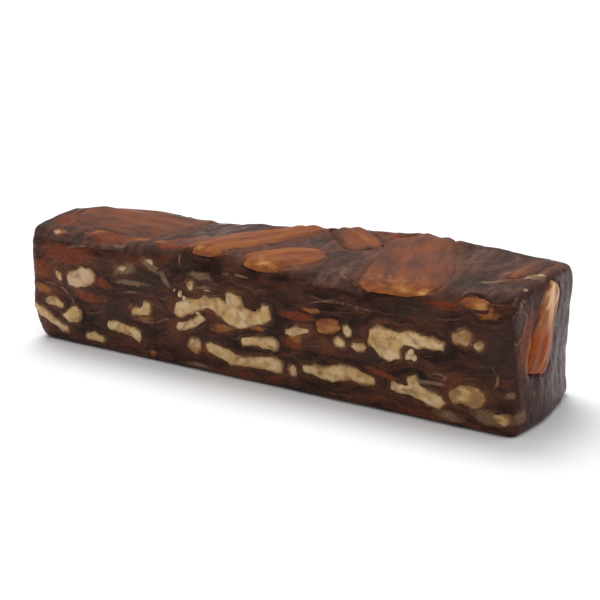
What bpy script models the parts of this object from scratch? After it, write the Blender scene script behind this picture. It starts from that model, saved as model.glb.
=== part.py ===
"""A finger of date and walnut cake: a pressed block of dates with walnut kernels, cut along its long sides.

The block is made true first: a rounded block, whole dates let into its top and ends, and kernels let
into its faces and trimmed flush by the knife. Then every solid is pressed out of true by one function,
so pieces and pockets keep their fit. Metres, +Z up, origin under the middle of the base.
"""

import math
import random

import bmesh
import bpy
from mathutils import Matrix, Vector, noise

MM = 0.001

# Driving dimensions of the block.
LENGTH = 187.4 * MM
WIDTH = 48 * MM
HEIGHT = 40 * MM
EDGE_RADIUS = 2.5 * MM
CORNER_RADIUS = 5 * MM  # of the upright corners, once pressed
CELL = 10 * MM  # spacing of the block's surface grid
MARKS_RIGHT = 1.2 * MM  # how far right of the block's middle the X of the tables below is counted from

# Fit of the pieces in the block.
KERNEL_GAP = 0.35 * MM  # clearance between a kernel and its pocket
DATE_GAP = 0.5 * MM  # the same round a whole date
KERNEL_PROUD = 0.3 * MM  # how far a cut kernel stands out of its face
DATE_PROUD = 1.3 * MM  # how far a whole date stands out of the top or an end
VOXEL = 0.65 * MM  # grain at which the lobes of a piece are fused

# Pressing out of true.
END_LEAN = 0.12  # slope of the front corner of the right end
END_BELLY = 3 * MM  # how far the right end bulges low in its middle
END_BELLY_SPREAD = 16 * MM
FACE_WAVE = 0.6 * MM  # waviness of the faces
FACE_WAVE_LENGTH = 22 * MM
CRAG = 0.45 * MM  # finer crags of the top and the ends
CRAG_LENGTH = 13 * MM
TOE_HEIGHT = 14 * MM  # height up to which the left end curves in under itself
TOE_DEPTH = 4.5 * MM

# Heights of the top, in mm: (x, along the front edge, along the middle, along the back edge).
TOP_LINES = (
    (-92, 40.8, 44.2, 41.2),
    (-78, 38.9, 44.4, 41.8),
    (-60, 39.2, 42.8, 42.2),
    (-47, 39.8, 41.0, 40.8),
    (-36, 40.4, 41.2, 41.4),
    (-16, 41.9, 42.0, 42.6),
    (6, 40.1, 41.0, 43.8),
    (23, 37.9, 41.0, 45.0),
    (38, 38.4, 42.2, 45.6),
    (47, 37.4, 42.2, 45.8),
    (62, 38.8, 42.0, 44.8),
    (74, 39.4, 41.4, 43.0),
    (84, 39.8, 41.6, 43.0),
    (92, 39.9, 41.2, 41.6),
)
TOP_EASE = 11  # distance over which one station gives way to the next, in mm

# Kernels that show on the front, as their lobes: (x, height above the base, radius), in mm.
FRONT_KERNELS = {
    "walnut_front_01": ((-71.6, 25, 3.4), (-66.4, 26.4, 3.9), (-63.6, 27, 3.0), (-69.5, 23.8, 2.2)),
    "walnut_front_02": ((-78.9, 25.6, 1.9), (-78.4, 24.6, 1.6)),
    "walnut_front_03": ((-91.2, 11.7, 2.1), (-87.7, 9.6, 2.5), (-83.8, 7.8, 2.3), (-80, 6.2, 1.9), (-77, 5.2, 1.6)),
    "walnut_front_04": ((-84.8, 14.8, 1.9), (-81.2, 15.2, 2.2), (-77.8, 14.2, 1.5)),
    "walnut_front_05": ((-71.4, 12.4, 3.0), (-74.6, 10.6, 2.2), (-71.6, 10.3, 2.1), (-77.2, 10.4, 1.3)),
    "walnut_front_06": ((-43.3, 17, 1.8), (-40.4, 16.9, 1.8), (-37.9, 19.2, 2.1), (-37.8, 17.3, 2.0)),
    "walnut_front_07": (
        (-55.2, 10, 1.9),
        (-52, 10.4, 2.2),
        (-48.2, 9.7, 2.2),
        (-44.6, 9.2, 2.3),
        (-42.3, 8.4, 2.0),
        (-41.8, 7.3, 1.6),
    ),
    "walnut_front_08": ((-19, 28.4, 1.8), (-19.2, 27.4, 1.5)),
    "walnut_front_09": (
        (-23.6, 19.7, 2.9),
        (-20.2, 20.8, 2.8),
        (-16.9, 21.9, 2.4),
        (-13, 23.3, 2.3),
        (-8, 23.2, 2.9),
        (-3, 20.8, 3.1),
        (-2.4, 26.4, 2.4),
        (0.4, 25.8, 2.4),
        (1.2, 20.6, 3.2),
        (4.6, 21.8, 3.0),
        (8.6, 22.4, 2.4),
        (10.9, 23.4, 2.3),
        (10.9, 25.8, 1.9),
    ),
    "walnut_front_10": ((-23.8, 14.2, 1.9), (-20.4, 14.9, 1.8), (-17, 16, 1.7), (-14.6, 18, 1.7)),
    "walnut_front_11": ((-17.6, 8.6, 2.8), (-16.6, 9.2, 2.3)),
    "walnut_front_12": (
        (-11, 9, 2.1),
        (-7.4, 8.2, 2.3),
        (-3, 7.2, 2.6),
        (1.2, 6.6, 2.0),
        (5, 7, 2.2),
        (9, 7.6, 2.8),
        (12.6, 8.1, 2.8),
        (15.4, 7.7, 2.4),
    ),
    "walnut_front_13": ((2.6, 13.7, 1.9), (6.4, 14.8, 2.0), (10.2, 14.7, 2.4), (13.2, 14.9, 2.5)),
    "walnut_front_14": ((19.6, 20.3, 1.8), (23, 21.3, 1.9), (26, 22, 1.7)),
    "walnut_front_15": ((40.4, 24.8, 1.9), (40.6, 23.6, 1.5)),
    "walnut_front_16": ((37.4, 20.6, 1.9), (38.4, 20.1, 1.6)),
    "walnut_front_17": ((43.3, 20, 1.7), (45.6, 20.4, 1.5)),
    "walnut_front_18": ((21, 8, 1.8), (21.2, 6.6, 1.6)),
    "walnut_front_19": (
        (25.4, 9.3, 1.6),
        (28.6, 9.4, 1.9),
        (32, 8.7, 2.4),
        (35.6, 9.4, 3.0),
        (39.2, 10.4, 2.7),
        (42.6, 10.8, 2.4),
        (46, 10.2, 2.2),
        (49.2, 9.4, 1.6),
    ),
    "walnut_front_20": (
        (51, 24, 4.1),
        (54.4, 23.6, 4.1),
        (52.6, 21, 3.1),
        (55.4, 19.6, 3.1),
        (60.6, 25, 2.7),
        (64, 24.6, 2.6),
        (67.6, 24.4, 2.0),
        (71, 23.9, 1.7),
    ),
    "walnut_front_21": ((61, 19.7, 1.7), (62, 19.4, 1.4)),
    "walnut_front_22": (
        (56.2, 9.3, 2.0),
        (59.4, 8.4, 1.8),
        (62.8, 9.6, 2.7),
        (62, 12.6, 1.9),
        (66.2, 8.2, 2.5),
        (70, 7, 2.4),
    ),
    "walnut_front_23": ((74.9, 9.8, 2.4), (78.4, 10.9, 3.2), (80.9, 10.9, 2.9), (80.6, 9, 1.9)),
    "walnut_front_24": ((86.8, 5.7, 1.8), (89.9, 4.9, 2.1)),
    "walnut_front_25": ((82, 25.6, 1.4), (83, 26.2, 1.4)),
    "walnut_front_26": ((-66, 4.4, 1.5), (-62.8, 4.9, 2.0), (-59.4, 4.2, 1.7)),
    "walnut_front_27": ((75.6, 27.2, 1.9), (78.4, 28.3, 2.1), (78.8, 26.4, 1.6)),
}

# Whole dates, flattened by the press: (face, centre u, centre v, half length, half width, turn in degrees).
DATES = {
    "date_top_01": ("top", -63, 3, 25, 17.5, 3),
    "date_top_02": ("top", -8, -1, 27, 9.6, 66),
    "date_top_03": ("top", 11.4, -13.4, 14, 9, 46),
    "date_top_04": ("top", 22.4, 11.8, 13.6, 6.6, -38),
    "date_top_05": ("top", 51, -3, 25, 13.8, 107),
    "date_top_06": ("top", 85.4, 4.4, 12, 3.6, 84),
    "date_front_01": ("front", 81, 37.9, 5.2, 2.6, -6),
    "date_front_02": ("front", 33.2, 24.8, 4.5, 3, 12),
    "date_right_01": ("right", -3.4, 26.6, 14.2, 6.4, 51),
    "date_left_01": ("left", -3, 25, 13, 8, 25),
}
DATE_THICKNESS = 3.6 * MM
DATE_RIDGES = 7  # lengthwise folds of the skin across one date
DATE_RIDGE_HEIGHT = 0.35 * MM

# Kernels of the sides that the photograph doesn't show follow a rule.
BACK_COLUMNS = 6
BACK_ROWS = (10.5 * MM, 25 * MM)
END_KERNELS = {
    "walnut_left_01": ("left", 8.5, 13, 11, 20),
    "walnut_left_02": ("left", -12, 9, 9, -35),
}
SEED = 7

DATE_PASTE = (0.045, 0.014, 0.009)
DATE_SKIN = (0.20, 0.055, 0.022)
KERNEL_CREAM = (0.52, 0.36, 0.19)


def clear_scene():
    for old in list(bpy.data.objects):
        bpy.data.objects.remove(old, do_unlink=True)


def finish_of(name, colour, roughness):
    """A Principled BSDF material of one colour."""
    made = bpy.data.materials.new(name)
    made.use_nodes = True
    shader = made.node_tree.nodes["Principled BSDF"]
    shader.inputs["Base Color"].default_value = (*colour, 1)
    shader.inputs["Roughness"].default_value = roughness
    shader.inputs["Metallic"].default_value = 0
    made.diffuse_color = (*colour, 1)
    return made


def new_object(name, bm, finish=None):
    mesh = bpy.data.meshes.new(name)
    bm.to_mesh(mesh)
    bm.free()
    made = bpy.data.objects.new(name, mesh)
    bpy.context.scene.collection.objects.link(made)
    if finish:
        mesh.materials.append(finish)
    return made


def bake_modifiers(obj):
    """Applies the object's modifiers to its mesh."""
    graph = bpy.context.evaluated_depsgraph_get()
    made = bpy.data.meshes.new_from_object(obj.evaluated_get(graph))
    obj.modifiers.clear()
    obj.data = made


def inner_corner():
    """Half sizes of the box that the rounded block is grown from, and its middle."""
    half = Vector((LENGTH / 2, WIDTH / 2, HEIGHT / 2)) - Vector((EDGE_RADIUS,) * 3)
    return half, Vector((0, 0, HEIGHT / 2))


def from_inner_box(point):
    """The vector to a point from the nearest point of the inner box."""
    half, middle = inner_corner()
    local = point - middle
    nearest = Vector(max(-h, min(h, c)) for c, h in zip(local, half))
    return local - nearest


def grid_lines(size, cell):
    """Places of the surface grid along one side: evenly spaced, and closer round the edges."""
    flat = size / 2 - EDGE_RADIUS
    inner = size / 2 - CORNER_RADIUS
    steps = max(1, round(2 * inner / cell))
    edge = (flat, flat + EDGE_RADIUS * math.tan(math.radians(22.5)), size / 2)
    middle = [-inner + 2 * inner * n / steps for n in range(steps + 1)] if cell < size else []
    return [-c for c in reversed(edge)] + middle + list(edge)


def rounded_block(name, cell, grow=0.0, grow_top=0.0, finish=None):
    """A block with rounded edges, its surface a grid of quads, standing on Z 0 and grown all round by grow."""
    lines = [grid_lines(size, cell) for size in (LENGTH, WIDTH, HEIGHT)]
    bm = bmesh.new()
    corners = {}

    def corner(at):
        if at not in corners:
            point = Vector((lines[0][at[0]], lines[1][at[1]], lines[2][at[2]] + HEIGHT / 2))
            out = from_inner_box(point)
            point += out.normalized() * (EDGE_RADIUS + grow) - out
            point.z += grow_top * (point.z > HEIGHT / 2)
            corners[at] = bm.verts.new(point)
        return corners[at]

    counts = [len(line) - 1 for line in lines]
    for axis in range(3):
        across, along = [a for a in range(3) if a != axis]
        for side in (0, counts[axis]):
            for i in range(counts[across]):
                for j in range(counts[along]):
                    face = []
                    for di, dj in ((0, 0), (1, 0), (1, 1), (0, 1)):
                        at = [0, 0, 0]
                        at[axis], at[across], at[along] = side, i + di, j + dj
                        face.append(corner(tuple(at)))
                    bm.faces.new(face)
    bmesh.ops.recalc_face_normals(bm, faces=bm.faces)
    return new_object(name, bm, finish)


def on_face(face, u, v, depth):
    """A point of the true block: u along the face, v up it (or across the top), depth into the block."""
    if face == "front":
        return Vector((u, depth - WIDTH / 2, v))
    if face == "back":
        return Vector((-u, WIDTH / 2 - depth, v))
    if face == "right":
        return Vector((LENGTH / 2 - depth, u, v))
    if face == "left":
        return Vector((depth - LENGTH / 2, -u, v))
    return Vector((u, v, HEIGHT - depth))


def face_axes(face):
    """The directions of u, v and depth on a face, as the columns of a matrix."""
    origin = on_face(face, 0, 0, 0)
    columns = [on_face(face, *step) - origin for step in ((1, 0, 0), (0, 1, 0), (0, 0, 1))]
    return Matrix(columns).transposed()


def fuse(obj, triangles, knife):
    """Fuses overlapping lobes into one closed skin, trims it with the knife block and reduces its triangles."""
    remesh = obj.modifiers.new("fuse", "REMESH")
    remesh.mode = "VOXEL"
    remesh.voxel_size = VOXEL
    smooth = obj.modifiers.new("soften", "SMOOTH")
    smooth.factor = 0.5
    smooth.iterations = 5
    trim = obj.modifiers.new("trim", "BOOLEAN")
    trim.operation = "INTERSECT"
    trim.object = knife
    bake_modifiers(obj)
    reduce_triangles(obj, triangles)


def is_closed(mesh):
    bm = bmesh.new()
    bm.from_mesh(mesh)
    closed = all(edge.is_manifold for edge in bm.edges)
    bm.free()
    return closed


def reduce_triangles(obj, triangles):
    """Reduces a skin to about so many triangles, or a few more where fewer would pinch it."""
    full = obj.data
    full.calc_loop_triangles()
    for extra in range(0, 60, 4):
        obj.data = full
        reduce = obj.modifiers.new("reduce", "DECIMATE")
        reduce.ratio = min(1.0, (triangles + extra) / len(full.loop_triangles))
        reduce.use_collapse_triangulate = True
        bake_modifiers(obj)
        if is_closed(obj.data):
            return


def bridged(lobes):
    """The lobes, with a smaller one between each and its nearest earlier neighbour, so that all run together."""
    made = list(lobes[:1])
    for n, (u, v, radius) in enumerate(lobes[1:], 1):
        near_u, near_v, near_radius = min(lobes[:n], key=lambda lobe: math.hypot(lobe[0] - u, lobe[1] - v))
        made.append(((u + near_u) / 2, (v + near_v) / 2, 0.9 * min(radius, near_radius)))
        made.append((u, v, radius))
    return made


def kernel(name, face, lobes, knife, finish):
    """A piece of walnut kernel: lobes fused together, cut flush by the knife. Lobes are (u, v, radius)."""
    bm = bmesh.new()
    axes = face_axes(face)
    for u, v, radius in bridged(lobes):
        deep = 1.5 * MM + radius * 1.15
        shape = axes @ Matrix.Diagonal((radius, radius, deep))
        place = Matrix.Translation(on_face(face, u, v, 0)) @ shape.to_4x4()
        bmesh.ops.create_icosphere(bm, subdivisions=3, radius=1, matrix=place)
    bmesh.ops.recalc_face_normals(bm, faces=bm.faces)
    made = new_object(name, bm, finish)
    fuse(made, 22 + 10 * len(lobes), knife)
    return made


def date(name, face, u, v, half_length, half_width, turn, knife, finish):
    """A whole date flattened by the press: an oval pad, its skin folded lengthwise."""
    bm = bmesh.new()
    bmesh.ops.create_icosphere(bm, subdivisions=5, radius=1)
    phase = Vector((half_length, half_width, turn))
    for vert in bm.verts:
        along, across, up = vert.co
        rim = 1 + 0.16 * noise.noise(Vector((along * 1.3, across * 1.3, 0)) + phase)
        squarer = 1 + 0.18 * (1 - abs(up)) ** 2 * (along * across) ** 2 * 4
        fold = math.cos(across * math.pi * DATE_RIDGES / 2 + 2 * noise.noise(phase + vert.co))
        lift = DATE_RIDGE_HEIGHT * fold * (1 - across**2) * (1 if up > 0 else 0)
        vert.co = Vector((
            along * half_length * rim * squarer,
            across * half_width * rim * squarer,
            math.copysign(abs(up) ** 0.8, up) * DATE_THICKNESS / 2 + lift,
        ))
    centre = on_face(face, u, v, DATE_THICKNESS / 2 - DATE_PROUD)
    axes = face_axes(face)
    flip = Matrix.Diagonal((1, 1, -1))
    turned = Matrix.Rotation(math.radians(turn), 3, "Z")
    bm.transform(Matrix.Translation(centre) @ (axes @ flip @ turned).to_4x4())
    bmesh.ops.recalc_face_normals(bm, faces=bm.faces)
    made = new_object(name, bm, finish)
    fuse(made, 90 + round(3 * half_length / MM), knife)
    return made


def kernel_chain(dice, u, v, length, turn):
    """Lobes of a kernel that follows the rule: a bent chain, with side lobes here and there."""
    steps = max(2, round(length / (2.4 * MM)) + 1)
    bend = dice.uniform(-0.9, 0.9)
    lobes = []
    for n in range(steps):
        t = n / (steps - 1) - 0.5
        along = Vector((t * length, bend * length * (t * t - 0.12)))
        along.rotate(Matrix.Rotation(math.radians(turn), 2))
        radius = dice.uniform(1.7, 2.9) * MM * (1 - 0.8 * t * t)
        lobes.append((u + along.x, v + along.y, radius))
        if dice.random() < 0.4:
            side = dice.choice((-1, 1)) * radius
            lobes.append((u + along.x + side * 0.3, v + along.y + side, radius * 0.75))
    return lobes


def gap_move(vert, gap):
    """The move of a corner that carries every face round it outward by the gap."""
    spread = Matrix.Identity(3) * 0.03
    pull = Vector()
    for face in vert.link_faces:
        n = face.normal
        spread += Matrix([n * c for c in n])
        pull += n * gap
    return spread.inverted() @ pull


def pocket_cutter(piece, collection):
    """A copy of a piece, larger by the gap all round."""
    bm = bmesh.new()
    bm.from_mesh(piece.data)
    bm.normal_update()
    gap = DATE_GAP if piece.name.startswith("date_") else KERNEL_GAP
    moves = [gap_move(vert, gap) for vert in bm.verts]
    for vert, move in zip(bm.verts, moves):
        vert.co += move
    cutter = new_object("pocket_" + piece.name, bm)
    bpy.context.scene.collection.objects.unlink(cutter)
    collection.objects.link(cutter)


def cut_pockets(block, pieces):
    """Lets the pieces into the block, then clears their cutters away."""
    cutters = bpy.data.collections.new("pocket_cutters")
    bpy.context.scene.collection.children.link(cutters)
    for piece in pieces:
        pocket_cutter(piece, cutters)
    cut = block.modifiers.new("pockets", "BOOLEAN")
    cut.operation = "DIFFERENCE"
    cut.operand_type = "COLLECTION"
    cut.collection = cutters
    bake_modifiers(block)
    for cutter in list(cutters.objects):
        bpy.data.objects.remove(cutter, do_unlink=True)
    bpy.data.collections.remove(cutters)


def drop_crumbs(obj):
    """Clears away slivers of paste that neighbouring pockets cut loose."""
    bm = bmesh.new()
    bm.from_mesh(obj.data)
    bm.verts.ensure_lookup_table()
    bodies = []
    met = set()
    for start in bm.verts:
        if start.index in met:
            continue
        met.add(start.index)
        body = [start]
        for vert in body:
            for edge in vert.link_edges:
                other = edge.other_vert(vert)
                if other.index not in met:
                    met.add(other.index)
                    body.append(other)
        bodies.append(body)
    bodies.sort(key=len)
    for crumb in bodies[:-1]:
        bmesh.ops.delete(bm, geom=crumb, context="VERTS")
    bm.to_mesh(obj.data)
    bm.free()


def smooth_step(low, high, value):
    t = max(0.0, min(1.0, (value - low) / (high - low)))
    return t * t * (3 - 2 * t)


def top_height(x, y):
    """The height of the top at a place: the table's stations, each weighted by its nearness."""
    marked = (x - MARKS_RIGHT) / MM
    nearness = [math.exp(-(((marked - station[0]) / TOP_EASE) ** 2)) for station in TOP_LINES]
    front, middle, back = (
        sum(near * station[line] for near, station in zip(nearness, TOP_LINES)) / sum(nearness)
        for line in (1, 2, 3)
    )
    across = max(-1, min(1, y / (WIDTH / 2)))
    side = front if across < 0 else back
    return (middle + (side - middle) * smooth_step(0, 1, abs(across))) * MM


def wave(point, length, offset):
    return noise.noise(point / length + Vector((offset, -offset, 2 * offset)))


def round_corner(point):
    """Draws a point in where it lies in an upright corner, as a square is drawn in to a circle."""
    over_x = max(0, (abs(point.x) - LENGTH / 2) / CORNER_RADIUS + 1)
    over_y = max(0, (abs(point.y) - WIDTH / 2) / CORNER_RADIUS + 1)
    drawn_x = over_x * (1 - math.sqrt(max(0, 1 - over_y**2 / 2))) * CORNER_RADIUS
    drawn_y = over_y * (1 - math.sqrt(max(0, 1 - over_x**2 / 2))) * CORNER_RADIUS
    return Vector((
        point.x - math.copysign(drawn_x, point.x),
        point.y - math.copysign(drawn_y, point.y),
        point.z,
    ))


def pressed(point):
    """Where a point of the true block ends up once the block is pressed out of true."""
    level = point.z / HEIGHT
    moved = round_corner(point)
    swell = top_height(point.x, point.y) - HEIGHT + CRAG * wave(point, CRAG_LENGTH, 3.1)
    moved.z += level * swell
    moved.y += FACE_WAVE * wave(point, FACE_WAVE_LENGTH, 9.7) * (0.35 + 0.65 * level)
    end = smooth_step(0.6, 1, abs(point.x) / (LENGTH / 2))
    moved.x += end * (FACE_WAVE + CRAG) * wave(point, CRAG_LENGTH, 5.3)
    front = 0.5 - point.y / WIDTH
    if point.x > 0:
        moved.x -= end * END_LEAN * (point.z - HEIGHT / 2) * front
        moved.x += end * END_BELLY * (1 - 0.6 * level) * math.exp(-((point.y / END_BELLY_SPREAD) ** 2))
    elif point.z < TOE_HEIGHT:
        moved.x += end * TOE_DEPTH * (1 - point.z / TOE_HEIGHT) ** 2
    return moved


def press(obj):
    for vert in obj.data.vertices:
        vert.co = pressed(vert.co)
    obj.data.update()


def centre_on_origin(solids):
    """Moves the solids together along X and Y, so that the origin is under the middle of them all."""
    points = [vert.co for solid in solids for vert in solid.data.vertices]
    for axis in (0, 1):
        middle = (min(p[axis] for p in points) + max(p[axis] for p in points)) / 2
        for point in points:
            point[axis] -= middle


def build():
    clear_scene()
    paste = finish_of("date_paste", DATE_PASTE, 0.42)
    skin = finish_of("date_skin", DATE_SKIN, 0.38)
    cream = finish_of("walnut_kernel", KERNEL_CREAM, 0.55)
    dice = random.Random(SEED)

    block = rounded_block("date_mass", CELL, finish=paste)
    knife = rounded_block("knife", LENGTH, grow=KERNEL_PROUD)
    press_plate = rounded_block("press_plate", LENGTH, grow=KERNEL_PROUD, grow_top=DATE_PROUD)
    end_plate = rounded_block("end_plate", LENGTH, grow=DATE_PROUD)

    pieces = []
    for name, lobes in FRONT_KERNELS.items():
        sized = [(x * MM + MARKS_RIGHT, z * MM, radius * MM) for x, z, radius in lobes]
        pieces.append(kernel(name, "front", sized, knife, cream))
    pitch = (LENGTH - 14 * MM) / BACK_COLUMNS
    for row, height in enumerate(BACK_ROWS):
        for column in range(BACK_COLUMNS):
            u = (column - (BACK_COLUMNS - 1) / 2) * pitch + dice.uniform(-2, 2) * MM
            v = height + dice.uniform(-1.5, 1.5) * MM
            length = dice.uniform(6, 19) * MM
            lobes = kernel_chain(dice, u, v, length, dice.uniform(-14, 14))
            name = f"walnut_back_{row * BACK_COLUMNS + column + 1:02d}"
            pieces.append(kernel(name, "back", lobes, knife, cream))
    for name, (face, u, v, length, turn) in END_KERNELS.items():
        lobes = kernel_chain(dice, u * MM, v * MM, length * MM, turn)
        pieces.append(kernel(name, face, lobes, knife, cream))
    for name, (face, u, v, half_length, half_width, turn) in DATES.items():
        plate = {"top": press_plate, "front": knife}.get(face, end_plate)
        along = u * MM + (MARKS_RIGHT if face in ("top", "front") else 0)
        sizes = (along, v * MM, half_length * MM, half_width * MM)
        pieces.append(date(name, face, *sizes, turn, plate, skin))
    for tool in (knife, press_plate, end_plate):
        bpy.data.objects.remove(tool, do_unlink=True)

    cut_pockets(block, pieces)
    drop_crumbs(block)
    for solid in [block, *pieces]:
        press(solid)
    centre_on_origin([block, *pieces])
    for solid in [block, *pieces]:
        solid.data.shade_smooth()
        solid.data.set_sharp_from_angle(angle=math.radians(40))


build()
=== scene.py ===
"""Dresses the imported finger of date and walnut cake: paste, cut kernels, whole dates, floor and light."""

import math

import bmesh
import bpy
import numpy as np
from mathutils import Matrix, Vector, kdtree, noise
from mathutils.bvhtree import BVHTree


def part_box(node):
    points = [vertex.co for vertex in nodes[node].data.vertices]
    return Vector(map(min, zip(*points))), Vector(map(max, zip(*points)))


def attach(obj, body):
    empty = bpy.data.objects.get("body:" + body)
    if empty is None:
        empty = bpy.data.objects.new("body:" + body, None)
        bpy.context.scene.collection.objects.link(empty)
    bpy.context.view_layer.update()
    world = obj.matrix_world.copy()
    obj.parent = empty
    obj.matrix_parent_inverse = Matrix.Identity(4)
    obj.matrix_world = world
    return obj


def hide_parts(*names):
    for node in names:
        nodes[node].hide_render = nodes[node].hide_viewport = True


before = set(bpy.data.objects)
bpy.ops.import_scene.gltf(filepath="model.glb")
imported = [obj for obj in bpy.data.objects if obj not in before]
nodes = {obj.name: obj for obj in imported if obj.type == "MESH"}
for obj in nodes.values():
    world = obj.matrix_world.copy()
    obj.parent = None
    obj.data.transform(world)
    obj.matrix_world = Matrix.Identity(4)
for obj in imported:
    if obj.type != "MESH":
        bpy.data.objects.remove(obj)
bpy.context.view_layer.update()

MM = 0.001

# The block is stoned dates, warmed and pressed with walnut kernels into one sticky dark paste. A long knife
# cut it front and back, so its layers of skin and flesh show there, bent round each kernel.
PASTE_GRAIN = 0.65 * MM
PASTE_SOFTENING = 2
KERNEL_BED = 0.9 * MM  # how far the paste under a kernel lies below it
TOP_DATE_BED = 1.2 * MM
SIDE_DATE_BED = 1.7 * MM
CURLED_DATES = ("date_top_04",)  # these lie proud of the top and need the deeper bed
PASTE_SPREAD = 0.7 * MM  # how far the paste closes in round a kernel or date
LAYER_REACH = 4.5 * MM  # how far from a kernel the layers still bend round it
LAP_REACH = 0.75 * MM  # how far the paste laps over the rim of a kernel, either side
LAP_RISE = 0.42 * MM
DATE_LAP_REACH = 1.3 * MM
WARM_REACH = 2.2 * MM  # how far a whole date's colour soaks into the paste round it
EDGE_ROUND = 6.5 * MM  # how far the long top edges are rounded over
EDGE_BEFORE = 2.5 * MM  # the radius that the cut block has there
CROWN_REACH = 4  # mm either side over which the height of the top is evened out
TOP_BAND = 9 * MM  # the dates of the top lie within this of its highest point
BASE_BAND = 1.5 * MM  # the relief fades out over this height above the base
RIM_SEARCH = 2 * MM  # how near a kernel its rim is looked for
# Waves of relief, each a height and a length in mm and a seed.
KNIFE_DRAG = ((0.20, 3.2, 8.3), (0.08, 1.3, 2.9))
TORN_PASTE = ((0.30, 5, 6.1), (0.10, 1.8, 3.3))
END_CORDS = ((0.06, 3.6, 9.1), (0.10, 1.5, 1.3))
INWARD = {
    "front": Vector((0, 1, 0)),
    "back": Vector((0, -1, 0)),
    "left": Vector((1, 0, 0)),
    "right": Vector((-1, 0, 0)),
    "top": Vector((0, 0, -1)),
}
FACE_AXES = {"front": (0, 2), "back": (0, 2), "left": (1, 2), "right": (1, 2), "top": (0, 1)}
kernel_names = sorted(name for name in nodes if name.startswith("walnut_"))
date_names = sorted(name for name in nodes if name.startswith("date_") and name != "date_mass")
block_low, block_high = (Vector(corner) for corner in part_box("date_mass"))


def shown_face(name):
    """The face that a kernel or whole date shows at, from its name."""
    return name.split("_")[1]


def new_piece(name, mesh):
    piece = bpy.data.objects.new(name, mesh)
    bpy.context.scene.collection.objects.link(piece)
    return piece


def remesh(piece, grain, smoothing):
    """Fuses a piece into one even skin of small quads and softens it."""
    fuse = piece.modifiers.new("fuse", "REMESH")
    fuse.mode = "VOXEL"
    fuse.voxel_size = grain
    soften = piece.modifiers.new("soften", "SMOOTH")
    soften.factor = 0.5
    soften.iterations = smoothing
    graph = bpy.context.evaluated_depsgraph_get()
    mesh = bpy.data.meshes.new_from_object(piece.evaluated_get(graph))
    piece.modifiers.clear()
    piece.data = mesh


def keep_values(mesh, **columns):
    """Stores lists of one number per corner under their names, for the finishes to read."""
    for name, values in columns.items():
        mesh.attributes.new(name, "FLOAT", "POINT").data.foreach_set("value", values)


def wave(point, length, seed):
    """Smooth noise from -1 to 1 with features about length across."""
    return noise.noise(point / length + Vector((seed, 2 * seed, -seed)))


def relief(point, waves, level=0.0):
    """A level with waves added to it, each a height and a length in mm and a seed."""
    for height, length, seed in waves:
        level += height * MM * wave(point, length * MM, seed)
    return level


def folded(point, length, seed):
    """Noise with sharp ridges, up to a half, and soft hollows."""
    return 0.5 - abs(wave(point, length, seed))


def smooth_step(low, high, value):
    t = max(0.0, min(1.0, (value - low) / (high - low)))
    return t * t * (3 - 2 * t)


packed_tree = BVHTree.FromPolygons(
    [vert.co for vert in nodes["date_mass"].data.vertices],
    [list(face.vertices) for face in nodes["date_mass"].data.polygons],
)


def crown_heights(side):
    """The height of the top beside one long edge, at every mm along the cake, evened out."""
    heights = []
    for mm in range(int(block_low.x / MM), int(block_high.x / MM) + 1):
        above = Vector((mm * MM, side * (block_high.y - EDGE_ROUND), 1))
        hit = packed_tree.ray_cast(above, Vector((0, 0, -1)))[0]
        heights.append(hit.z if hit else 0.0)
    spans = [slice(max(0, i - CROWN_REACH), i + CROWN_REACH + 1) for i in range(len(heights))]
    highest = [max(heights[span]) for span in spans]
    return [sum(highest[span]) / len(highest[span]) for span in spans]


crowns = {side: crown_heights(side) for side in (-1, 1)}


def ease_edge(point):
    """Draws a point in so that the long top edges, cut crisp, come out softly rounded."""
    side = 1 if point.y > 0 else -1
    heights = crowns[side]
    index = max(0, min(len(heights) - 1, round(point.x / MM) - int(block_low.x / MM)))
    out = side * point.y - (block_high.y - EDGE_ROUND)
    up = point.z - (heights[index] - EDGE_ROUND)
    if out <= 0 or up <= 0:
        return
    turn = math.atan2(up, out)
    cosine, sine = math.cos(turn), math.sin(turn)
    inner = EDGE_ROUND - EDGE_BEFORE
    before = EDGE_ROUND / max(cosine, sine)
    if before * min(cosine, sine) > inner:
        along = inner * (cosine + sine)
        before = along + math.sqrt(max(0.0, along * along - 2 * inner * inner + EDGE_BEFORE * EDGE_BEFORE))
    shrink = 1 - EDGE_ROUND / before
    point.y -= side * out * shrink
    point.z -= up * shrink


def paste_core():
    """The mass with the beds of its kernels and dates filled to just below them."""
    packed = bmesh.new()
    packed.from_mesh(nodes["date_mass"].data)
    for name in kernel_names + date_names:
        bed = nodes[name].data.copy()
        depth = KERNEL_BED
        if name in date_names:
            pressed = shown_face(name) == "top" and name not in CURLED_DATES
            depth = TOP_DATE_BED if pressed else SIDE_DATE_BED
        sink = INWARD[shown_face(name)] * depth
        for vert in bed.vertices:
            vert.co += vert.normal * PASTE_SPREAD + sink
            if shown_face(name) == "top":
                vert.co.y = max(block_low.y + 1 * MM, min(block_high.y - 1 * MM, vert.co.y))
        packed.from_mesh(bed)
        bpy.data.meshes.remove(bed)
    mesh = bpy.data.meshes.new("pressed_dates")
    packed.to_mesh(mesh)
    packed.free()
    piece = new_piece("pressed_dates", mesh)
    remesh(piece, PASTE_GRAIN, PASTE_SOFTENING)
    return piece


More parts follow.
